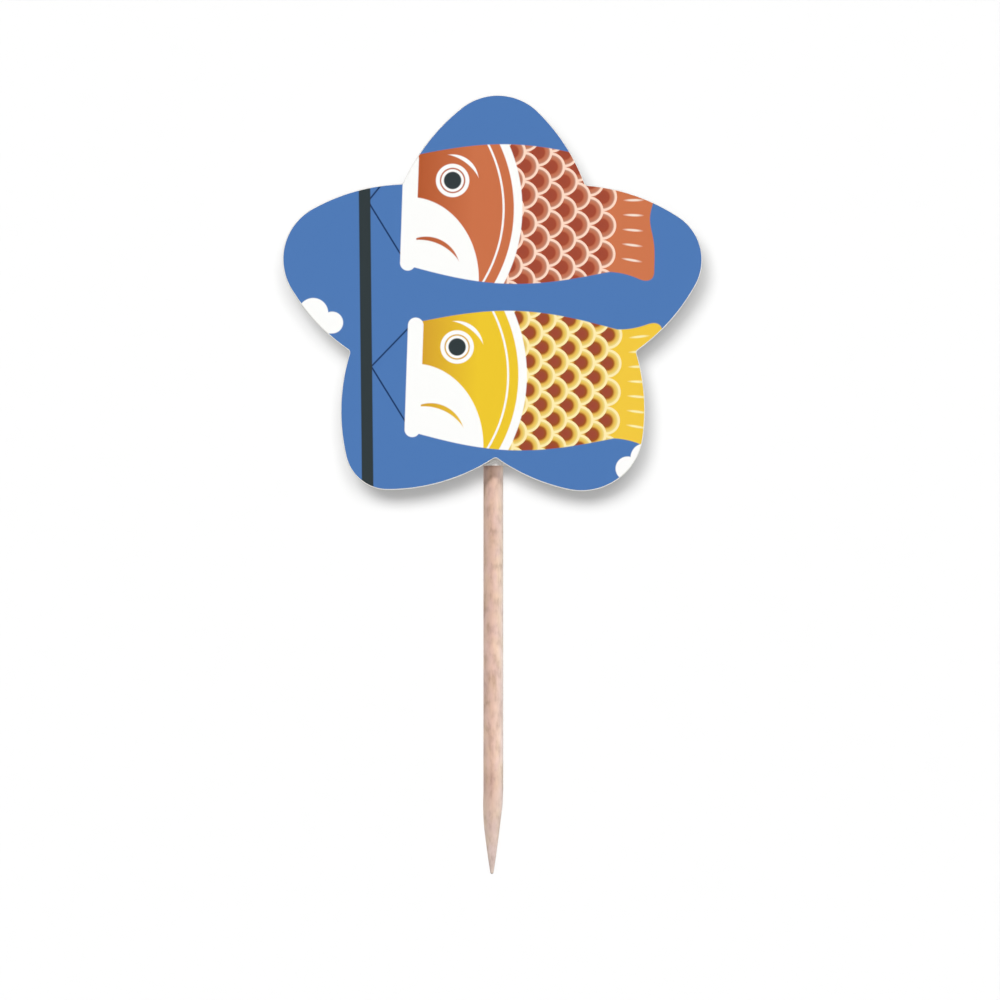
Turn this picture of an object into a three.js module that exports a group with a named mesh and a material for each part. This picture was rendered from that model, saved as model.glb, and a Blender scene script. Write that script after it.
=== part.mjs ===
// A cupcake pick: a die-cut star card, held by a foam pad on a round wooden toothpick.
// Millimetres. +Z runs up the toothpick from its lower point, and the printed face looks along -Y.

import * as THREE from 'three';

// Toothpick, turned to a point at each end
const stickDiameter = 2.0;
const stickLength = 65;
const taperLength = 9;
const taperFullness = 0.58;     // how far along the taper the lines of its point and of the shaft cross
const pointDiameter = 0.3;
const pointRounding = 0.2;      // height of the round on the blunt end of a point
const pointOffset = 0.14;       // the lower point is ground this far off the axis
const stickSides = 32;

// Foam pad, cut square from a strip of double-sided foam
const padWidth = 12;
const padHeight = 20;
const padThickness = 1.0;
const padDent = 0.25;           // how deep the toothpick has sunk into the foam
const dentClearance = 0.3;      // the dent is this much wider than the toothpick on each side
const stickAbovePad = 4;

// Card, die-cut from printed board
const cardThickness = 0.4;
const cardEdgeRadius = 0.08;    // the die rolls the edges over
const padShowing = 0.79;        // from the pad's lower edge up to the corner of the bottom notch

// Star outline: five round lobes with rounded notches between them
const starReach = 21.55;        // from the star's centre to the end of a lobe
const notchRadius = 15.06;      // from the star's centre to the corner of a notch, before it is rounded
const lobeEndRadius = 5.48;
const lobeSideRadius = 19.65;   // the sides of a lobe bulge with this radius
const notchRounding = 0.73;

// The outline is drawn by hand, so no two lobes are quite alike. Clockwise from the top, each one is longer
// and blunter than the rest by these shares, and leans clockwise by so many degrees.
const lobes = [
  { longer: -0.016, blunter: 0.06, lean: 1.65 },
  { longer: 0.002, blunter: -0.05, lean: 1.4 },
  { longer: -0.012, blunter: 0.14, lean: 0.15 },
  { longer: 0.014, blunter: -0.21, lean: 1.0 },
  { longer: 0.012, blunter: 0.06, lean: -0.65 },
];

// The notch after each lobe, which is further out by this share and further clockwise by so many degrees
const notches = [
  { further: -0.007, turn: 1.9 },
  { further: -0.01, turn: -0.2 },
  { further: 0.007, turn: -0.2 },
  { further: -0.003, turn: 0.15 },
  { further: 0.015, turn: -0.25 },
];

// Places that follow from the sizes
const stickRadius = stickDiameter / 2;
const padBottom = stickLength - stickAbovePad - padHeight;
const padFloor = -stickRadius;                  // the toothpick's front lies on the dent's floor
const padBack = padFloor + padDent;
const padFront = padBack - padThickness;
const starCentre = padBottom + padShowing + notchRadius;

const cardBoard = new THREE.MeshStandardMaterial({ color: 0x4f7bb8, roughness: 0.42, metalness: 0 });
const whiteFoam = new THREE.MeshStandardMaterial({ color: 0xeceae6, roughness: 0.9, metalness: 0 });
const birchWood = new THREE.MeshStandardMaterial({ color: 0xdebda6, roughness: 0.75, metalness: 0 });

// A point at a clockwise angle from the top of the star
function polar(degrees, distance) {
  const angle = THREE.MathUtils.degToRad(degrees);
  return new THREE.Vector2(Math.sin(angle), Math.cos(angle)).multiplyScalar(distance);
}

// The side of a lobe is an arc that starts at the notch and runs tangent into the round end. Its centre lies
// one side radius from the notch, and the side radius less the end's from the end's centre, across the lobe.
function sideArc(notch, end, endRadius) {
  const toEnd = end.clone().sub(notch);
  const span = toEnd.length();
  const along = (lobeSideRadius ** 2 - (lobeSideRadius - endRadius) ** 2 + span ** 2) / (2 * span);
  const across = Math.sqrt(lobeSideRadius ** 2 - along ** 2);
  const direction = toEnd.divideScalar(span);
  const inward = new THREE.Vector2(-direction.y, direction.x);
  if (inward.dot(end) > 0) inward.negate();
  const centre = notch.clone().addScaledVector(direction, along).addScaledVector(inward, across);
  const tangent = end.clone().sub(centre).setLength(endRadius).add(end);
  return { centre, tangent };
}

// The arc that rounds a notch touches the sides of the lobes before and after it from outside
function notchArc(corner, before, after) {
  const reach = lobeSideRadius + notchRounding;
  const apart = after.clone().sub(before);
  const outward = new THREE.Vector2(-apart.y, apart.x);
  if (outward.dot(corner) < 0) outward.negate();
  outward.setLength(Math.sqrt(reach ** 2 - apart.lengthSq() / 4));
  const centre = before.clone().add(after).divideScalar(2).add(outward);
  const touching = (sideCentre) => sideCentre.clone().lerp(centre, lobeSideRadius / reach);
  return { centre, from: touching(before), to: touching(after) };
}

function starShape() {
  const lobeStep = 360 / lobes.length;
  const corners = notches.map(({ further, turn }, index) =>
    polar((index + 0.5) * lobeStep + turn, notchRadius * (1 + further)));
  const outline = lobes.map(({ longer, blunter, lean }, index) => {
    const endRadius = lobeEndRadius * (1 + blunter);
    const end = polar(index * lobeStep + lean, starReach * (1 + longer) - endRadius);
    const rising = sideArc(corners.at(index - 1), end, endRadius);
    const falling = sideArc(corners[index], end, endRadius);
    return { end, endRadius, rising, falling };
  });
  const rounds = corners.map((corner, index) =>
    notchArc(corner, outline[index].falling.centre, outline[(index + 1) % lobes.length].rising.centre));

  const shape = new THREE.Shape();
  const angleFrom = (centre, point) => Math.atan2(point.y - centre.y, point.x - centre.x);
  const arc = (centre, radius, from, to, clockwise) =>
    shape.absarc(centre.x, centre.y, radius, angleFrom(centre, from), angleFrom(centre, to), clockwise);
  outline.forEach(({ end, endRadius, rising, falling }, index) => {
    arc(rising.centre, lobeSideRadius, rounds.at(index - 1).to, rising.tangent, true);
    arc(end, endRadius, rising.tangent, falling.tangent, true);
    arc(falling.centre, lobeSideRadius, falling.tangent, rounds[index].from, true);
    arc(rounds[index].centre, notchRounding, rounds[index].from, rounds[index].to, false);
  });
  return shape;
}

function starCard() {
  const geometry = new THREE.ExtrudeGeometry(starShape(), {
    depth: cardThickness - 2 * cardEdgeRadius,
    bevelThickness: cardEdgeRadius,
    bevelSize: cardEdgeRadius,
    bevelOffset: -cardEdgeRadius,
    bevelSegments: 2,
    curveSegments: 6,
  });
  geometry.translate(0, 0, cardEdgeRadius);
  const card = new THREE.Mesh(geometry, cardBoard);
  card.name = 'star_card';
  card.rotation.x = Math.PI / 2;
  card.position.set(0, padFront, starCentre);
  return card;
}

// The pad's section across the toothpick, with the dent that the toothpick has pressed into its back
function foamPad() {
  const facetHalf = stickRadius * Math.tan(Math.PI / stickSides);
  const floorHalf = facetHalf + dentClearance / 2;
  const mouthHalf = Math.sqrt(2 * stickRadius * padDent - padDent ** 2) + dentClearance;
  const bend = (floorHalf + mouthHalf) / 2;     // the dent's sides curve up from its floor
  const shape = new THREE.Shape()
    .moveTo(-padWidth / 2, padFront)
    .lineTo(padWidth / 2, padFront)
    .lineTo(padWidth / 2, padBack)
    .lineTo(mouthHalf, padBack)
    .quadraticCurveTo(bend, padFloor, floorHalf, padFloor)
    .lineTo(-floorHalf, padFloor)
    .quadraticCurveTo(-bend, padFloor, -mouthHalf, padBack)
    .lineTo(-padWidth / 2, padBack)
    .closePath();
  const pad = new THREE.Mesh(
    new THREE.ExtrudeGeometry(shape, { depth: padHeight, bevelEnabled: false, curveSegments: 6 }),
    whiteFoam,
  );
  pad.name = 'foam_pad';
  pad.position.z = padBottom;
  return pad;
}

// Half of the profile, from the blunt tip at height 0 to the middle of the toothpick
function pointProfile() {
  const tip = new THREE.Path()
    .moveTo(0, 0)
    .quadraticCurveTo(pointDiameter / 2, 0, pointDiameter / 2, pointRounding)
    .quadraticCurveTo(stickRadius, taperLength * taperFullness, stickRadius, taperLength);
  return tip.getPoints(10);
}

function toothpick() {
  const flatsOut = 1 / Math.cos(Math.PI / stickSides);   // the flats, not the corners, lie on the diameter
  const lower = pointProfile();
  const upper = lower.map((point) => new THREE.Vector2(point.x, stickLength - point.y)).reverse();
  const profile = [...lower, ...upper].map((point) => new THREE.Vector2(point.x * flatsOut, point.y));
  const geometry = new THREE.LatheGeometry(profile, stickSides, Math.PI / stickSides);
  geometry.rotateX(Math.PI / 2);

  const places = geometry.getAttribute('position');
  for (let index = 0; index < places.count; index += 1) {
    const centred = THREE.MathUtils.smoothstep(places.getZ(index), taperLength / 2, taperLength);
    places.setX(index, places.getX(index) - pointOffset * (1 - centred));
  }
  const stick = new THREE.Mesh(geometry, birchWood);
  stick.name = 'toothpick';
  return stick;
}

const cupcakePick = new THREE.Group();
cupcakePick.add(toothpick(), foamPad(), starCard());

export default cupcakePick;
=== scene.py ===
# A cupcake pick: a printed star card on a foam pad and a wooden toothpick, seen square on from above.
import bpy
import bmesh
import math
from mathutils import Matrix, Vector, noise


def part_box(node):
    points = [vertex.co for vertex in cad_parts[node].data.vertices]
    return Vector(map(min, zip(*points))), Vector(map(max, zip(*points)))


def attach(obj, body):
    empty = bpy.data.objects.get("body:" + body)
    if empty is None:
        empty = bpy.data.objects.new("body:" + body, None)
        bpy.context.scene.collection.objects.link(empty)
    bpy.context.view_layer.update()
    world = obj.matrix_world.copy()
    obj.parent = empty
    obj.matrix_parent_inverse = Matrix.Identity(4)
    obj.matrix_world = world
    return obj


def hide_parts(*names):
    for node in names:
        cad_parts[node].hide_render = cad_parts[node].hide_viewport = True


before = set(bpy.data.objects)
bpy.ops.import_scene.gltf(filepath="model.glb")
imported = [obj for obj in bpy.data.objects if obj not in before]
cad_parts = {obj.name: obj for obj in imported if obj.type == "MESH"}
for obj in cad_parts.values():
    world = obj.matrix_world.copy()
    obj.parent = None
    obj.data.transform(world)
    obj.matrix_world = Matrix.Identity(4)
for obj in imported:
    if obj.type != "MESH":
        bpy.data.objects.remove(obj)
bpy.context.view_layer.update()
mm = 0.001
sameSpot = 0.001 * mm        # points closer than this are joined

cardLow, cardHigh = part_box("star_card")
padLow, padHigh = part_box("foam_pad")
stickLow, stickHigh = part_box("toothpick")
print("frame loaded, card", cardLow, cardHigh)


# Shader maths as expressions: a wire is one output socket of a node
class Wire:
    def __init__(self, paint, socket):
        self.paint = paint
        self.socket = socket

    def __add__(self, other):
        return self.paint.math("ADD", self, other)

    def __radd__(self, other):
        return self.paint.math("ADD", other, self)

    def __sub__(self, other):
        return self.paint.math("SUBTRACT", self, other)

    def __rsub__(self, other):
        return self.paint.math("SUBTRACT", other, self)

    def __mul__(self, other):
        return self.paint.math("MULTIPLY", self, other)

    def __rmul__(self, other):
        return self.paint.math("MULTIPLY", other, self)

    def __truediv__(self, other):
        return self.paint.math("DIVIDE", self, other)

    def __pow__(self, other):
        return self.paint.math("POWER", self, other)

    def __lt__(self, other):
        return self.paint.math("LESS_THAN", self, other)

    def __gt__(self, other):
        return self.paint.math("GREATER_THAN", self, other)

    def __abs__(self):
        return self.paint.math("ABSOLUTE", self)


# One material being painted, with its node tree
class Paint:
    def __init__(self, name):
        self.material = bpy.data.materials.new(name)
        self.material.use_nodes = True
        self.tree = self.material.node_tree
        self.tree.nodes.clear()

    def add(self, kind, settings=None, sockets=None, output=0):
        node = self.tree.nodes.new(kind)
        for name, value in (settings or {}).items():
            if name == "stops":
                self.setStops(node.color_ramp, value)
            else:
                setattr(node, name, value)
        for key, value in (sockets or {}).items():
            if isinstance(value, Wire):
                self.tree.links.new(value.socket, node.inputs[key])
            else:
                node.inputs[key].default_value = value
        return Wire(self, node.outputs[output]) if len(node.outputs) else node

    def setStops(self, ramp, stops):
        while len(ramp.elements) < len(stops):
            ramp.elements.new(0.5)
        for element, (place, colour) in zip(ramp.elements, stops):
            element.position = place
            element.color = colour

    def math(self, operation, *values, clamp=False):
        settings = {"operation": operation, "use_clamp": clamp}
        return self.add("ShaderNodeMath", settings, dict(enumerate(values)))

    # the largest or the smallest of some values
    def most(self, first, *others):
        for other in others:
            first = self.math("MAXIMUM", first, other)
        return first

    def least(self, first, *others):
        for other in others:
            first = self.math("MINIMUM", first, other)
        return first

    def clamped(self, value):
        return self.math("ADD", value, 0.0, clamp=True)

    def mix(self, mask, under, over, blend="MIX"):
        settings = {"data_type": "RGBA", "blend_type": blend}
        return self.add("ShaderNodeMix", settings, {0: mask, 6: under, 7: over}, output=2)

    def choose(self, mask, otherwise, value):
        return self.add("ShaderNodeMix", {"data_type": "FLOAT"}, {0: mask, 2: otherwise, 3: value})

    def ramp(self, value, stops):
        return self.add("ShaderNodeValToRGB", {"stops": stops}, {"Fac": value})

    def place(self):
        return self.add("ShaderNodeTexCoord", output=3)

    # one axis of the place, in millimetres
    def axis(self, letter):
        split = self.add("ShaderNodeSeparateXYZ", None, {0: self.place()}, output="XYZ".index(letter))
        return split / mm

    # the place with each axis in millimetres times its own share, for a pattern that is longer one way
    def stretched(self, x, y, z):
        sockets = {0: self.place(), 1: (x / mm, y / mm, z / mm)}
        return self.add("ShaderNodeVectorMath", {"operation": "MULTIPLY"}, sockets)

    def noise(self, vector, scale, detail=2.0, roughness=0.5):
        sockets = {"Vector": vector, "Scale": scale, "Detail": detail, "Roughness": roughness}
        return self.add("ShaderNodeTexNoise", None, sockets)

    def finish(self, colour, roughness, bump, bumpDepth, bumpStrength, gloss):
        depth = {"Height": bump, "Distance": bumpDepth * mm, "Strength": bumpStrength}
        normal = self.add("ShaderNodeBump", None, depth)
        sockets = {
            "Base Color": colour,
            "Roughness": roughness,
            "Normal": normal,
            "Specular IOR Level": gloss,
        }
        shader = self.add("ShaderNodeBsdfPrincipled", None, sockets)
        self.add("ShaderNodeOutputMaterial", None, {"Surface": shader})
        return self.material


# An ink or stain as it looks on the finished thing, in 0 to 255, as the linear colour a shader takes
def tint(red, green, blue):
    shares = [value / 255 for value in (red, green, blue)]
    return tuple(s / 12.92 if s <= 0.04045 else ((s + 0.055) / 1.055) ** 2.4 for s in shares) + (1.0,)


# What is printed, in millimetres from the print's middle, U to the right and V up
printSheet = {
    "middle": (-0.07, 56.9),  # right of the toothpick's axis, and above its point
    "blue": (77, 122, 184),
    "white": (254, 254, 252),
    "slate": (51, 61, 64),
    "cordBlue": (22, 48, 92),
    "softness": 0.09,        # how far an ink's edge spreads into the board
    "pole": ((-12.92, 22.0), (-12.45, -22.0), 1.15),  # start, end and width of a stroke
    "cords": (
        ((-12.46, 10.52), (-9.23, 5.28), 0.15),
        ((-12.46, 10.52), (-10.36, 13.1), 0.15),
        ((-12.13, -6.0), (-8.46, -2.2), 0.15),
        ((-12.13, -6.0), (-8.76, -11.45), 0.15),
    ),
    "clouds": (              # middle and radius of each round
        ((-17.94, -0.65), 1.5),
        ((-16.04, -1.6), 1.09),
        ((13.5, -16.2), 1.2),
        ((15.2, -15.1), 1.4),
    ),
    "cloudFoot": ((-19.04, -1.95), (-16.14, -1.95), 1.5),
}

# A carp streamer, in millimetres back along it from its mouth, then up from its middle
streamerShape = {
    "droop": 1.9,            # degrees by which the tail hangs
    "ring": ((0.14, 5.13), (0.14, -5.29), 1.54),      # the stroke round the mouth
    "middle": -0.07,
    "halfHeight": 5.45,      # at the mouth and at the root of the tail
    "swell": 1.52,
    "bodyLength": 20.3,
    "flare": 0.068,
    "tailLength": 24.2,      # to the bottom of the fork
    "forkDepth": 0.6,
    "forkWidth": 2.0,
    "tailRounding": 1.5,
    "lightFrom": 1.0,        # the head's ink runs from dark here to light
    "lightAt": 6.5,
    "eye": (4.35, 3.1),
    "eyeRadius": 1.67,
    "irisRadius": 1.2,
    "irisWidth": 0.14,
    "pupilRadius": 0.87,
    "brow": ((4.35, 3.1), 2.6, (2.97, 1.13), 4.62),   # a disc, and a larger one that cuts it to a crescent
    "gillCentre": (-4.6, 0.0),
    "gillRadius": 15.6,
    "gillWidth": 0.85,
    "gillLine": 1.45,        # a second line this far in front of the gill's edge
    "gillLineWidth": 0.2,
    "jawCentre": (0.3, -7.0),
    "jawSize": (7.0, 8.3),
    "barbel": ((2.0, -6.0), 3.4, (1.36, -7.75), 4.81),
    "scaleRadius": 1.431,
    "scaleStep": 1.317,      # from one row of scales to the next along the body
    "lastScale": 19.42,
    "scaleRise": 0.405,
    "scaleTurn": 0.35,       # degrees by which the rows lean back
    "rayMiddle": 22.53,      # short pale rays fan out over the tail
    "rayRise": 0.23,
    "raySize": (0.8, 0.115),
    "rayStep": 1.5,
    "rayFan": 0.03,
    "rayReach": 5.2,
    "rayStrength": 0.85,
}
streamers = (
    {
        "mouth": (-8.45, 9.65),
        "light": (206, 114, 72),
        "dark": (184, 90, 47),
        "tail": (209, 119, 77),
        "ray": (255, 240, 225),
        "scale": (           # inks from a scale's centre out to its rim, by share of its radius
            (0.0, (162, 71, 50)),
            (0.44, (167, 74, 50)),
            (0.56, (197, 111, 79)),
            (0.72, (193, 123, 95)),
            (0.79, (201, 140, 114)),
            (0.865, (255, 220, 199)),
        ),
    },
    {
        "mouth": (-8.0, -7.0),
        "light": (240, 201, 43),
        "dark": (216, 164, 43),
        "tail": (244, 202, 62),
        "ray": (255, 246, 190),
        "scale": (
            (0.0, (163, 69, 50)),
            (0.27, (160, 75, 49)),
            (0.44, (162, 83, 27)),
            (0.58, (233, 184, 80)),
            (0.71, (234, 204, 101)),
            (0.79, (240, 214, 129)),
            (0.865, (255, 237, 178)),
        ),
    },
)


# Distances on the print are below nothing inside a shape and above outside it
def between(paint, u, v, middle):
    across, up = u - middle[0], v - middle[1]
    return (across * across + up * up) ** 0.5


def disc(paint, u, v, middle, radius):
    return between(paint, u, v, middle) - radius


# a straight stroke with round ends
def stroke(paint, u, v, start, end, width):
    du, dv = end[0] - start[0], end[1] - start[1]
    square = du * du + dv * dv
    along = paint.clamped((u - start[0]) * (du / square) + (v - start[1]) * (dv / square))
    return between(paint, u - along * du, v - along * dv, start) - width / 2


# what is left of a disc outside a second, larger one
def crescent(paint, u, v, middle, radius, cutMiddle, cutRadius):
    return paint.most(disc(paint, u, v, middle, radius), 0 - disc(paint, u, v, cutMiddle, cutRadius))


# where two shapes overlap, with a round where their edges cross
def roundedOverlap(paint, first, second, radius):
    over, under = paint.most(first + radius, 0.0), paint.most(second + radius, 0.0)
    outside = (over * over + under * under) ** 0.5
    return outside + paint.least(paint.most(first, second), -radius)


# 1 inside the shape and 0 outside, soft across its edge
def inside(paint, distance):
    return paint.math("SUBTRACT", 0.5, distance / printSheet["softness"], clamp=True)


# Overlapping round scales in the old wave pattern, turned to lie along the fish: each one covers those
# behind it. Gives how far out in its scale a point lies, from 0 at the centre to 1 at the rim, or 9 past the
# last scale.
def scalePattern(paint, s, t):
    shape = streamerShape
    radius, step = shape["scaleRadius"], shape["scaleStep"]
    turn = math.radians(shape["scaleTurn"])
    back = s * math.cos(turn) + t * math.sin(turn) - shape["lastScale"]
    up = t * math.cos(turn) - s * math.sin(turn) - shape["scaleRise"]
    row = paint.math("CEIL", (back - radius) / step)
    even = 1 - paint.math("FLOORED_MODULO", row, 2.0)
    found = 9.0
    for behind in (2, 1, 0):
        along = back - row * step - behind * step
        shifted = up + (even if behind != 1 else 1 - even) * radius
        across = paint.math("WRAP", shifted, radius, -radius)
        distance = (along * along + across * across) ** 0.5 / radius
        shows = (distance < 1.0) * (row + behind < 0.5)
        found = paint.choose(shows, found, distance)
    return found


def drawHead(paint, s, t, gill, look):
    shape = streamerShape
    white, dark = tint(*printSheet["white"]), tint(*look["dark"])
    lighter = paint.clamped((s - shape["lightFrom"]) / (shape["lightAt"] - shape["lightFrom"]))
    ink = paint.mix(lighter, dark, tint(*look["light"]))

    # the white jaw with a barbel over it, a line in front of the gill and a brow
    width, height = shape["jawSize"]
    jawU, jawV = shape["jawCentre"]
    jaw = (between(paint, (s - jawU) / width, (t - jawV) / height, (0.0, 0.0)) - 1) * width
    jaw = paint.most(jaw, 0 - crescent(paint, s, t, *shape["barbel"]))
    line = abs(gill + shape["gillLine"]) - shape["gillLineWidth"] / 2
    brow = crescent(paint, s, t, *shape["brow"])
    head = paint.mix(inside(paint, paint.least(jaw, line, brow)), ink, white)

    eye = between(paint, s, t, shape["eye"])
    head = paint.mix(inside(paint, eye - shape["eyeRadius"]), head, white)
    iris = abs(eye - shape["irisRadius"]) - shape["irisWidth"] / 2
    head = paint.mix(inside(paint, iris), head, dark)
    return paint.mix(inside(paint, eye - shape["pupilRadius"]), head, tint(*printSheet["slate"]))


def drawBody(paint, s, t, look):
    shape = streamerShape
    depth = scalePattern(paint, s, t)
    scales = paint.ramp(depth, [(share, tint(*ink)) for share, ink in look["scale"]])

    # the tail and its rays show past the last scale
    fanned = (t - shape["rayRise"]) / (1 + (s - shape["rayMiddle"]) * shape["rayFan"])
    across = paint.math("WRAP", fanned, shape["rayStep"] / 2, -shape["rayStep"] / 2)
    length, width = shape["raySize"]
    ray = (between(paint, (s - shape["rayMiddle"]) / length, across / width, (0.0, 0.0)) - 1) * width
    ray = paint.most(ray, abs(t) - shape["rayReach"])
    tail = paint.mix(inside(paint, ray) * shape["rayStrength"], tint(*look["tail"]), tint(*look["ray"]))
    return paint.mix(depth < 1.5, tail, scales)


def drawStreamer(paint, u, v, sheet, look):
    shape = streamerShape
    white = tint(*printSheet["white"])
    turn = math.radians(shape["droop"])
    across, up = u - look["mouth"][0], v - look["mouth"][1]
    s = across * math.cos(turn) - up * math.sin(turn)
    t = across * math.sin(turn) + up * math.cos(turn)

    swell = paint.most(paint.math("SINE", s * (math.pi / shape["bodyLength"])), 0.0) * shape["swell"]
    behind = paint.most(s - shape["bodyLength"], 0.0)
    halfHeight = shape["halfHeight"] + swell + behind * behind * shape["flare"]
    notch = paint.math("EXPONENT", 0 - (t / shape["forkWidth"]) * (t / shape["forkWidth"]))
    tailEnd = shape["tailLength"] + shape["forkDepth"] * (1 - notch)
    outline = roundedOverlap(paint, abs(t - shape["middle"]) - halfHeight, s - tailEnd, shape["tailRounding"])
    outline = paint.most(outline, 0 - s)

    gill = disc(paint, s, t, shape["gillCentre"], shape["gillRadius"])
    fish = paint.mix(gill > 0.0, drawHead(paint, s, t, gill, look), drawBody(paint, s, t, look))
    fish = paint.mix(inside(paint, abs(gill) - shape["gillWidth"] / 2), fish, white)
    sheet = paint.mix(inside(paint, outline), sheet, fish)
    return paint.mix(inside(paint, stroke(paint, s, t, *shape["ring"])), sheet, white)


def printedFace():
    paint = Paint("printed_card")
    middleU, middleV = printSheet["middle"]
    u, v = paint.axis("X") - middleU, paint.axis("Z") - middleV
    rounds = [disc(paint, u, v, middle, radius) for middle, radius in printSheet["clouds"]]
    cloud = paint.least(stroke(paint, u, v, *printSheet["cloudFoot"]), *rounds)
    cords = paint.least(*[stroke(paint, u, v, *cord) for cord in printSheet["cords"]])
    pole = stroke(paint, u, v, *printSheet["pole"])

    sheet = tint(*printSheet["blue"])
    for distance, ink in ((cloud, "white"), (cords, "cordBlue"), (pole, "slate")):
        sheet = paint.mix(inside(paint, distance), sheet, tint(*printSheet[ink]))
    for look in streamers:
        sheet = drawStreamer(paint, u, v, sheet, look)

    tooth = paint.noise(paint.place(), scale=5200.0, detail=3.0, roughness=0.6)
    return paint.finish(sheet, 0.42 + 0.08 * tooth, tooth, bumpDepth=0.004, bumpStrength=0.35, gloss=0.12)


# The white board under the print: the greyest and the palest of its fibres
boardLook = {
    "edge": ((214, 212, 206), (246, 245, 241)),
    "back": ((226, 224, 218), (247, 246, 242)),
}


def boardCore():
    paint = Paint("board_edge")
    fibres = paint.noise(paint.stretched(1.0, 6.0, 1.0), scale=9.0, detail=4.0, roughness=0.6)
    grey, pale = boardLook["edge"]
    colour = paint.mix(fibres, tint(*grey), tint(*pale))
    return paint.finish(colour, 0.75 + 0.15 * fibres, fibres, bumpDepth=0.02, bumpStrength=0.5, gloss=0.2)


def boardBack():
    paint = Paint("board_back")
    fibres = paint.noise(paint.place(), scale=2600.0, detail=5.0, roughness=0.65)
    flecks = paint.noise(paint.place(), scale=620.0, detail=3.0, roughness=0.55)
    grey, pale = boardLook["back"]
    colour = paint.mix(fibres * 0.5 + flecks * 0.5, tint(*grey), tint(*pale))
    return paint.finish(colour, 0.6 + 0.15 * fibres, fibres, bumpDepth=0.01, bumpStrength=0.4, gloss=0.25)


# The star is cut along arcs, in millimetres. Degrees run clockwise from the top as the print is seen
starCut = {
    "centre": 56.85,         # height of the star's centre above the toothpick's point
    "reach": 21.53,
    "endRadius": 5.46,
    "sideRadius": 19.63,
    "notch": 15.035,
    "notchRounding": 0.35,
    "lobes": (               # longer and blunter by these shares, and leaning clockwise by degrees
        (-0.016, 0.06, 1.65),
        (0.002, -0.05, 1.4),
        (-0.012, 0.14, 0.15),
        (0.014, -0.21, 1.0),
        (0.012, 0.06, -0.65),
    ),
    "notches": (             # after each lobe, further out by this share and further clockwise by degrees
        (0.016, 1.1),
        (-0.0055, -0.7),
        (0.002, -0.8),
        (-0.003, 0.8),
        (0.015, -0.25),
    ),
    "rolledEdge": 0.04,
    "rolledSteps": 3,
    "squareOn": 0.99,        # a normal that points this much along Y is on the flat front or back
    "margin": 0.035,         # the print stops this far short of the rolled edge
    "printShift": (0.0, 0.02),  # the print's edge lies this far right and up of the cut
    "arcStep": 2.0,          # degrees between points on a lobe's end
    "sideSteps": 14,
    "notchSteps": 10,
}


def polar(degrees, distance):
    return Vector((math.sin(math.radians(degrees)), math.cos(math.radians(degrees)))) * distance


# Centre of the arc that would run from a notch's corner tangent into a lobe's round end, and where they meet
def sideArc(corner, end, endRadius):
    sideRadius = starCut["sideRadius"]
    toEnd = end - corner
    span = toEnd.length
    along = (sideRadius ** 2 - (sideRadius - endRadius) ** 2 + span ** 2) / (2 * span)
    across = math.sqrt(sideRadius ** 2 - along ** 2)
    direction = toEnd / span
    inward = Vector((-direction.y, direction.x))
    if inward.dot(end) > 0:
        inward.negate()
    centre = corner + direction * along + inward * across
    return centre, end + (end - centre).normalized() * endRadius


# The arc in a notch touches the sides before and after it from outside: its centre and its two ends
def notchArc(corner, before, after):
    sideRadius = starCut["sideRadius"]
    reach = sideRadius + starCut["notchRounding"]
    apart = after - before
    outward = Vector((-apart.y, apart.x)).normalized()
    if outward.dot(corner) < 0:
        outward.negate()
    centre = (before + after) / 2 + outward * math.sqrt(reach ** 2 - apart.length_squared / 4)
    share = sideRadius / reach
    return centre, before.lerp(centre, share), after.lerp(centre, share)


def cutStarOutline(bm, y):
    cut = starCut
    step = 360 / len(cut["lobes"])
    corners = [
        polar((index + 0.5) * step + turn, cut["notch"] * (1 + further))
        for index, (further, turn) in enumerate(cut["notches"])
    ]
    ends, rising, falling = [], [], []
    for index, (longer, blunter, lean) in enumerate(cut["lobes"]):
        endRadius = cut["endRadius"] * (1 + blunter)
        end = polar(index * step + lean, cut["reach"] * (1 + longer) - endRadius)
        ends.append(end)
        rising.append(sideArc(corners[index - 1], end, endRadius))
        falling.append(sideArc(corners[index], end, endRadius))
    following = rising[1:] + rising[:1]
    notches = [
        notchArc(corner, before[0], after[0])
        for corner, before, after in zip(corners, falling, following)
    ]

    def place(point):
        return Vector((point.x * mm, y, (cut["centre"] + point.y) * mm))

    def swing(vertex, centre, start, stop, steps=None):
        turn = (start - centre).angle_signed(stop - centre)
        steps = steps or round(abs(math.degrees(turn)) / cut["arcStep"])
        made = bmesh.ops.spin(
            bm, geom=[vertex], cent=place(centre), axis=(0, 1, 0), angle=turn,
            steps=steps, use_duplicate=False,
        )
        return next(item for item in made["geom_last"] if isinstance(item, bmesh.types.BMVert))

    vertex = bm.verts.new(place(notches[-1][2]))
    for index, end in enumerate(ends):
        vertex = swing(vertex, rising[index][0], notches[index - 1][2], rising[index][1], cut["sideSteps"])
        vertex = swing(vertex, end, rising[index][1], falling[index][1])
        vertex = swing(vertex, falling[index][0], falling[index][1], notches[index][1], cut["sideSteps"])
        vertex = swing(vertex, *notches[index], cut["notchSteps"])
    bmesh.ops.remove_doubles(bm, verts=bm.verts, dist=sameSpot)


def smoothByAngle(mesh, degrees):
    mesh.shade_smooth()
    mesh.set_sharp_from_angle(angle=math.radians(degrees))


def pieceFrom(bm, name, *materials):
    mesh = bpy.data.meshes.new(name)
    bm.to_mesh(mesh)
    bm.free()
    for material in materials:
        mesh.materials.append(material)
    piece = bpy.data.objects.new(name, mesh)
    bpy.context.scene.collection.objects.link(piece)
    return piece


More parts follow.
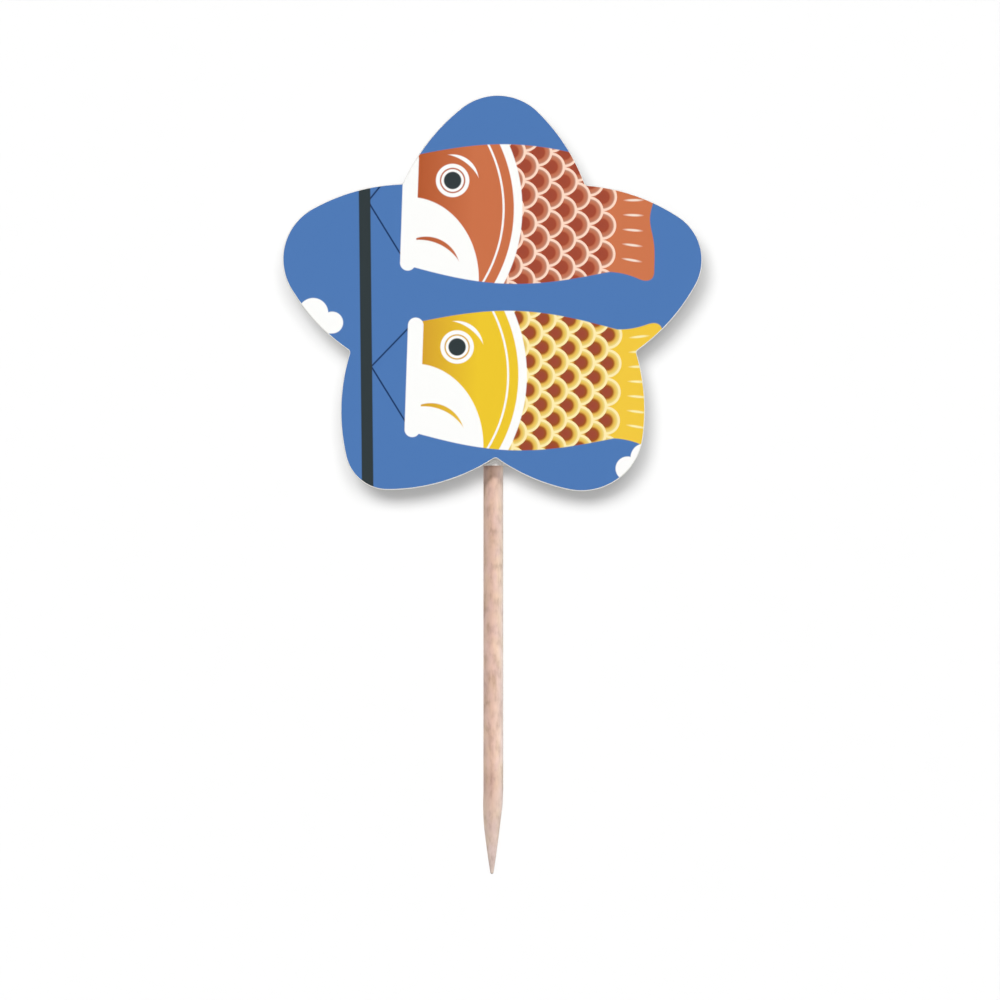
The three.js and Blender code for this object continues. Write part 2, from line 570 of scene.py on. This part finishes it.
# The card's own map: the printed face takes nearly all of it, the plain back and the cut edge what is left
cardMap = {
    "faceCorner": (0.015, 0.055),
    "faceWidth": 0.97,
    "backCorner": (0.015, 0.8),
    "backWidth": 0.19,
    "edgeWidth": 0.96,
    "edgeFoot": 0.01,
    "edgeHead": 0.035,
    "leastFacing": 0.3,      # a normal that points less than this along Y is on the edge
}


def mapCard(bm):
    layer = bm.loops.layers.uv.new("OFBake")
    width = cardHigh.x - cardLow.x
    centre = Vector((0, 0, starCut["centre"] * mm))
    bm.normal_update()

    def flat(co, corner, size):
        return corner[0] + (co.x - cardLow.x) / width * size, corner[1] + (co.z - cardLow.z) / width * size

    # the edge unrolls by the turn of each point about the star's centre, on its face's own side of the seam
    def unrolled(co, face):
        middle, spoke = face.calc_center_median() - centre, co - centre
        turn = math.atan2(spoke.x, spoke.z)
        turn += round((math.atan2(middle.x, middle.z) - turn) / (2 * math.pi)) * 2 * math.pi
        depth = (co.y - cardLow.y) / (cardHigh.y - cardLow.y)
        foot, head = cardMap["edgeFoot"], cardMap["edgeHead"]
        return 0.5 + turn / (2 * math.pi) * cardMap["edgeWidth"], foot + (head - foot) * depth

    for face in bm.faces:
        for loop in face.loops:
            co = loop.vert.co
            if face.normal.y < -cardMap["leastFacing"]:
                loop[layer].uv = flat(co, cardMap["faceCorner"], cardMap["faceWidth"])
            elif face.normal.y > cardMap["leastFacing"]:
                loop[layer].uv = flat(co, cardMap["backCorner"], cardMap["backWidth"])
            else:
                loop[layer].uv = unrolled(co, face)


def makeStarCard():
    bm = bmesh.new()
    cutStarOutline(bm, cardLow.y)
    bmesh.ops.contextual_create(bm, geom=bm.edges[:])
    raised = bmesh.ops.extrude_face_region(bm, geom=bm.faces[:])
    verts = [item for item in raised["geom"] if isinstance(item, bmesh.types.BMVert)]
    bmesh.ops.translate(bm, verts=verts, vec=(0, cardHigh.y - cardLow.y, 0))
    bmesh.ops.recalc_face_normals(bm, faces=bm.faces)
    rims = [edge for edge in bm.edges if edge.verts[0].co.y == edge.verts[1].co.y]
    bmesh.ops.bevel(
        bm,
        geom=rims,
        offset=starCut["rolledEdge"] * mm,
        segments=starCut["rolledSteps"],
        profile=0.5,
        affect="EDGES",
        material=-1,
        clamp_overlap=True,
    )
    bmesh.ops.recalc_face_normals(bm, faces=bm.faces)
    bm.normal_update()
    printed = [face for face in bm.faces if face.normal.y < -starCut["squareOn"]]
    for face in bm.faces:
        face.material_index = 2 if face.normal.y > starCut["squareOn"] else 1
    bmesh.ops.inset_region(bm, faces=printed, thickness=starCut["margin"] * mm, use_even_offset=True)
    across, up = starCut["printShift"]
    shifted = list({vert for face in printed for vert in face.verts})
    bmesh.ops.translate(bm, verts=shifted, vec=(across * mm, 0, up * mm))
    for face in printed:
        face.material_index = 0
    mapCard(bm)
    card = pieceFrom(bm, "printed_star_card", printedFace(), boardCore(), boardBack())
    smoothByAngle(card.data, 35)
    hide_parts("star_card")
    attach(card, "root")
    print("star card made,", len(card.data.polygons), "faces")
    return card


# Toothpick, in millimetres
stickTurning = {
    "radius": 0.992,
    "taper": 7.4,
    "taperPower": 1.4,       # how full the taper is
    "pointRadius": 0.17,
    "pointRound": 0.2,
    "pointOffset": 0.14,     # the lower point lies this far off the axis
    "offsetFrom": 4.4,       # in full below this height, and not at all above twice as much
    "sides": 72,
    "tipRings": (0.0, 0.01, 0.03, 0.06, 0.1, 0.15, 0.2, 0.3, 0.4),
    "ringStep": 0.4,
    "unevenness": (          # share of the radius, then how tight it is around and along the stick
        (0.006, 1.3, 0.22),
        (0.004, 8.0, 0.35),
    ),
}


# Radius of the toothpick at a height above its lower point
def stickRadiusAt(z):
    turning = stickTurning
    length = (stickHigh.z - stickLow.z) / mm
    fromEnd = min(z, length - z)
    if fromEnd < turning["pointRound"]:
        share = max(fromEnd, 0.0) / turning["pointRound"]
        return turning["pointRadius"] * math.sqrt(1 - (1 - share) ** 2)
    share = min((fromEnd - turning["pointRound"]) / (turning["taper"] - turning["pointRound"]), 1.0)
    growth = 1 - (1 - share) ** turning["taperPower"]
    return turning["pointRadius"] + (turning["radius"] - turning["pointRadius"]) * growth


def makeToothpick():
    turning = stickTurning
    length = (stickHigh.z - stickLow.z) / mm
    tip, step = list(turning["tipRings"]), turning["ringStep"]
    shaft = [step * ring for ring in range(2, int(length / step) - 1)]
    heights = tip + shaft + [length - z for z in reversed(tip)]
    bm = bmesh.new()
    profile = [bm.verts.new((stickRadiusAt(z) * mm, 0, z * mm)) for z in heights]
    chain = [bm.edges.new(pair) for pair in zip(profile, profile[1:])]
    bmesh.ops.spin(
        bm, geom=profile + chain, cent=(0, 0, 0), axis=(0, 0, 1), angle=2 * math.pi,
        steps=turning["sides"], use_merge=True, use_duplicate=False,
    )
    bmesh.ops.remove_doubles(bm, verts=bm.verts, dist=sameSpot)
    bmesh.ops.recalc_face_normals(bm, faces=bm.faces)
    for vertex in bm.verts:
        x, y, z = vertex.co / mm
        radius = math.hypot(x, y)
        if radius * mm > sameSpot:
            cx, cy = x / radius, y / radius
            growth = 1.0
            for share, around, along in turning["unevenness"]:
                growth += share * noise.noise(Vector((cx * around, cy * around, z * along)))
            x, y = x * growth, y * growth
        low = min(max(2 - z / turning["offsetFrom"], 0.0), 1.0)
        vertex.co = Vector((x - turning["pointOffset"] * low * low * (3 - 2 * low), y, z)) * mm
    stick = pieceFrom(bm, "wooden_toothpick", birchWood())
    smoothByAngle(stick.data, 60)
    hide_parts("toothpick")
    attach(stick, "root")
    print("toothpick made,", len(stick.data.polygons), "faces")
    return stick


# Birch with its right side painted paler, as painted light from the right, soft short patches and a few fine
# streaks
birchLook = {
    "across": (              # colours from the left side to the right, by share of the stick's width
        (0.0, (229, 202, 186)),
        (0.2, (229, 197, 181)),
        (0.45, (239, 203, 186)),
        (0.7, (249, 219, 202)),
        (0.85, (251, 226, 211)),
        (1.0, (251, 238, 228)),
    ),
    "tip": (252, 242, 234),
    "tipHeight": 9.0,        # the wood is paler from here down to the lower point
    "tipStrength": 0.65,
    # painted shade: from this height up the wood is darkened towards the card above it
    "darkerFrom": 16.0,      # and darker from here up
    "darkerOver": 40.0,
    "darkerBy": 0.15,
    "noises": {              # stretch along x, y and z, then scale, detail and roughness
        "patches": ((1.0, 1.0, 0.5), 1.7, 2.0, 0.55),
        "streaks": ((1.0, 1.0, 0.1), 2.4, 3.0, 0.6),
        "fibres": ((1.0, 1.0, 0.04), 14.0, 3.0, 0.6),
        "slow": ((0.2, 0.2, 0.16), 1.0, 1.0, 0.5),
        "hue": ((1.0, 1.0, 0.5), 1.1, 1.0, 0.4),
    },
    "stains": {              # linear shares of red, green and blue that each pattern leaves
        "shade": ((0.33, (0.68, 0.64, 0.61)), (0.5, (0.91, 0.9, 0.89)), (0.66, (1.0, 1.0, 1.0))),
        "slow": ((0.25, (0.87, 0.85, 0.85)), (0.6, (1.0, 1.0, 1.0))),
        "hue": ((0.35, (0.99, 0.965, 1.0)), (0.65, (1.0, 0.985, 0.92))),
    },
}


def birchWood():
    look = birchLook
    paint = Paint("birch_wood")
    side = paint.clamped(paint.axis("X") * 0.5 + 0.5)
    height = paint.axis("Z")
    # painted light: across the stick the wood is painted paler towards its right side
    colour = paint.ramp(side, [(share, tint(*ink)) for share, ink in look["across"]])
    paleTip = paint.clamped(1 - height / look["tipHeight"]) * look["tipStrength"]
    colour = paint.mix(paleTip, colour, tint(*look["tip"]))

    grown = {}
    for name, (stretch, *setting) in look["noises"].items():
        grown[name] = paint.noise(paint.stretched(*stretch), *setting)
    # painted shade under the card, taken off the slow change of tone
    darker = paint.clamped((height - look["darkerFrom"]) / look["darkerOver"]) * look["darkerBy"]
    patterns = {
        "shade": grown["patches"] * 0.6 + grown["streaks"] * 0.3 + grown["fibres"] * 0.1,
        "slow": grown["slow"] - darker,
        "hue": grown["hue"],
    }
    for name, pattern in patterns.items():
        stain = paint.ramp(pattern, [(place, shares + (1.0,)) for place, shares in look["stains"][name]])
        colour = paint.mix(1.0, colour, stain, "MULTIPLY")

    grain = grown["fibres"] * 0.6 + grown["streaks"] * 0.4
    roughness = 0.62 + 0.2 * grown["streaks"]
    return paint.finish(colour, roughness, grain, bumpDepth=0.03, bumpStrength=0.5, gloss=0.25)


# Foam pad, in millimetres
padFoam = {
    "fineCut": 0.12,         # between the cuts under the toothpick
    "fineReach": 1.56,
    "coarseCut": 0.75,
    "sideStrip": 0.2,        # least width left uncut along each side
    "sideFrom": 0.4999,      # a point this share of the size from the middle is on a cut side
    "layers": 6,
    "dentGap": 0.015,
    "lip": 0.025,            # the foam rises beside the toothpick
    "lipFrom": 0.25,
    "lipWidth": 0.22,
    "waist": 0.05,           # the sides draw in half way through the thickness
    "cells": 5200.0,         # scale of the cells, per metre
    "cloud": 900.0,          # and of the slower change of colour
    # both tints are set a little greyer, as painted shade for the foam that shows under the card
    "pale": (242, 239, 236),
    "grey": (218, 214, 209),
}


def makeFoamPad():
    foam = padFoam
    size = padHigh - padLow
    middle = (padLow + padHigh) / 2
    bm = bmesh.new()
    bmesh.ops.create_cube(bm, size=1.0)
    bmesh.ops.scale(bm, vec=size, verts=bm.verts)
    bmesh.ops.translate(bm, vec=middle, verts=bm.verts)

    def cutAcross(place, axis):
        normal = Vector((axis == "X", axis == "Y", axis == "Z"))
        bmesh.ops.bisect_plane(
            bm, geom=bm.verts[:] + bm.edges[:] + bm.faces[:], plane_co=normal * place, plane_no=normal
        )

    fineCuts = round(foam["fineReach"] / foam["fineCut"])
    coarseCuts = int((size.x / mm / 2 - foam["fineReach"] - foam["sideStrip"]) / foam["coarseCut"])
    for step in range(-fineCuts, fineCuts + 1):
        cutAcross(step * foam["fineCut"] * mm, "X")
    for step in range(1, coarseCuts + 1):
        for side in (-1, 1):
            cutAcross(side * (foam["fineReach"] + step * foam["coarseCut"]) * mm, "X")
    rows = int(size.z / mm / foam["coarseCut"])
    for row in range(1, rows):
        cutAcross(padLow.z + size.z * row / rows, "Z")
    for layer in range(1, foam["layers"]):
        cutAcross(padLow.y + size.y * layer / foam["layers"], "Y")

    back, front = padHigh.y / mm, padLow.y / mm
    for vertex in bm.verts:
        x, y, z = vertex.co / mm
        depth = (y - front) / (back - front)
        pinch = 1 - (2 * depth - 1) ** 2
        if abs(vertex.co.x - middle.x) > size.x * foam["sideFrom"]:
            x -= math.copysign(foam["waist"] * pinch, x)
        if abs(vertex.co.z - middle.z) > size.z * foam["sideFrom"]:
            z -= math.copysign(foam["waist"] * pinch, z - middle.z / mm)

        # the toothpick presses a round dent, and the foam swells a little beside it
        radius = stickRadiusAt(z) + foam["dentGap"]
        surface = back
        if radius > -back:
            mouth = math.sqrt(radius ** 2 - back ** 2)
            surface += foam["lip"] * math.exp(-(((abs(x) - mouth - foam["lipFrom"]) / foam["lipWidth"]) ** 2))
            if abs(x) < radius:
                surface = min(surface, -math.sqrt(radius ** 2 - x ** 2))
        vertex.co = Vector((x, front + (surface - front) * depth, z)) * mm
    bmesh.ops.recalc_face_normals(bm, faces=bm.faces)
    pad = pieceFrom(bm, "double_sided_foam", whiteFoam())
    smoothByAngle(pad.data, 40)
    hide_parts("foam_pad")
    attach(pad, "root")
    print("foam pad made,", len(pad.data.polygons), "faces")
    return pad


def whiteFoam():
    foam = padFoam
    paint = Paint("white_foam")
    sockets = {"Vector": paint.place(), "Scale": foam["cells"]}
    cells = paint.add("ShaderNodeTexVoronoi", {"feature": "DISTANCE_TO_EDGE"}, sockets)
    hollow = paint.clamped(cells * 5.0)
    cloud = paint.noise(paint.place(), foam["cloud"], detail=3.0, roughness=0.5)
    # partly painted shade, the cells' hollows taking the grey, and partly a slow cloud of tone at random
    colour = paint.mix(hollow * 0.5 + cloud * 0.5, tint(*foam["pale"]), tint(*foam["grey"]))
    return paint.finish(colour, 0.85 - 0.1 * hollow, 1 - hollow, bumpDepth=0.03, bumpStrength=0.6, gloss=0.2)


# The white table that the pick lies on, seen straight down, which shows only from its front. Its grey is
# darker than it looks and its own lamps are stronger by as much, so little light bounces back to the card
tableSetup = {
    "size": 3.0,             # metres
    "gap": 0.05,             # millimetres behind the toothpick
    "grey": 0.2,
    "glow": 0.27,
}


def makeTable():
    setup = tableSetup
    bm = bmesh.new()
    bmesh.ops.create_grid(bm, x_segments=1, y_segments=1, size=setup["size"] / 2)
    bmesh.ops.rotate(bm, verts=bm.verts, cent=(0, 0, 0), matrix=Matrix.Rotation(math.radians(90), 3, "X"))
    bmesh.ops.translate(bm, verts=bm.verts, vec=(0, stickHigh.y + setup["gap"] * mm, 0))
    paint = Paint("white_table")
    matt = paint.add("ShaderNodeBsdfDiffuse", None, {"Color": (setup["grey"],) * 3 + (1.0,)})
    glow = paint.add("ShaderNodeEmission", None, {"Strength": setup["glow"]})
    lit = paint.add("ShaderNodeAddShader", None, {0: matt, 1: glow})
    clear = paint.add("ShaderNodeBsdfTransparent")
    behind = paint.add("ShaderNodeNewGeometry", output=6)
    surface = paint.add("ShaderNodeMixShader", None, {0: behind, 1: lit, 2: clear})
    paint.add("ShaderNodeOutputMaterial", None, {"Surface": surface})
    table = pieceFrom(bm, "white_table", paint.material)
    for ray in ("glossy", "transmission", "volume_scatter", "shadow"):
        setattr(table, "visible_" + ray, False)
    return table


# Each lamp stands so many degrees to the left of and above the camera. Its share is how much of a white
# card's brightness it gives: on each piece the shares of the front lamps and the room add up to about 1, and
# the table's do with its glow. The light of the two lamps behind doesn't bounce on
lampSetup = {
    "key": dict(left=9.0, above=12.0, share=0.27, width=40.0, shadow=True, lights="pick"),
    "top": dict(left=5.0, above=57.0, share=0.46, width=10.0, shadow=True, lights="stick"),
    "over": dict(left=5.0, above=28.0, share=0.46, width=10.0, shadow=True, lights="card"),
    "fill": dict(left=-62.0, above=5.0, share=0.12, width=40.0, shadow=False, lights="pick"),
    "behind": dict(left=160.0, above=20.0, share=0.6, width=40.0, shadow=False, lights="stick", bounces=0),
    "behindCard": dict(left=160.0, above=20.0, share=0.3, width=40.0, shadow=False, lights="card", bounces=0),
    "tableLeft": dict(left=18.0, above=23.0, share=0.36, width=26.0, shadow=True, lights="table"),
    "tableRight": dict(left=-9.0, above=24.0, share=0.18, width=26.0, shadow=True, lights="table"),
    "tableFront": dict(left=4.0, above=4.0, share=0.16, width=60.0, shadow=True, lights="table"),
}
roomShare = 0.156


def collect(name, pieces):
    collection = bpy.data.collections.new(name)
    for piece in pieces:
        collection.objects.link(piece)
    return collection


def makeLamps(card, stick, pad, table):
    lit = {
        "pick": collect("lit_pick", [card, stick, pad]),
        "stick": collect("lit_stick", [stick, pad]),
        "card": collect("lit_card", [card]),
        "table": collect("lit_table", [table]),
    }
    flat = collect("shadow_on_table", [card, pad])   # the toothpick lies on the table
    for name, setup in lampSetup.items():
        left, above = math.radians(setup["left"]), math.radians(setup["above"])
        level = math.cos(above)
        towards = Vector((-math.sin(left) * level, -math.cos(left) * level, math.sin(above)))
        lamp = bpy.data.lights.new(name, "SUN")
        lamp.energy = setup["share"] * math.pi / abs(towards.y)
        lamp.angle = math.radians(setup["width"])
        lamp.use_shadow = setup["shadow"]
        if "bounces" in setup:
            lamp.cycles.max_bounces = setup["bounces"]
        holder = bpy.data.objects.new(name, lamp)
        holder.rotation_euler = towards.to_track_quat("Z", "Y").to_euler()
        holder.visible_glossy = False
        holder.light_linking.receiver_collection = lit[setup["lights"]]
        if setup["lights"] == "table":
            lamp.energy /= tableSetup["grey"]
            holder.light_linking.blocker_collection = flat
        bpy.context.scene.collection.objects.link(holder)

    # the room is dim for the pick and white for the camera
    world = bpy.data.worlds.new("studio")
    bpy.context.scene.world = world
    world.use_nodes = True
    nodes, links = world.node_tree.nodes, world.node_tree.links
    nodes.clear()
    rays = nodes.new("ShaderNodeLightPath")
    strength = nodes.new("ShaderNodeMix")
    strength.inputs[2].default_value = roomShare
    strength.inputs[3].default_value = 1.0
    sky = nodes.new("ShaderNodeBackground")
    sky.inputs["Color"].default_value = (1.0, 1.0, 1.0, 1.0)
    out = nodes.new("ShaderNodeOutputWorld")
    links.new(rays.outputs["Is Camera Ray"], strength.inputs[0])
    links.new(strength.outputs[0], sky.inputs["Strength"])
    links.new(sky.outputs[0], out.inputs["Surface"])


# The photograph is square on: a long lens whose view is so many millimetres wide at the card
cameraSetup = {"width": 100.0, "distance": 500.0, "sensor": 36.0, "x": 0.67, "z": 37.55}


def makeCamera():
    setup = cameraSetup
    lens = bpy.data.cameras.new("front")
    lens.sensor_width = setup["sensor"]
    lens.lens = setup["sensor"] * setup["distance"] / setup["width"]
    lens.clip_start = 0.01
    camera = bpy.data.objects.new("front", lens)
    camera.location = (setup["x"] * mm, cardLow.y - setup["distance"] * mm, setup["z"] * mm)
    camera.rotation_euler = (math.radians(90), 0, 0)
    bpy.context.scene.collection.objects.link(camera)
    bpy.context.scene.camera = camera


bpy.context.scene.view_settings.view_transform = "Standard"
makeCamera()
makeLamps(makeStarCard(), makeToothpick(), makeFoamPad(), makeTable())
print("stage, lamps and camera made")
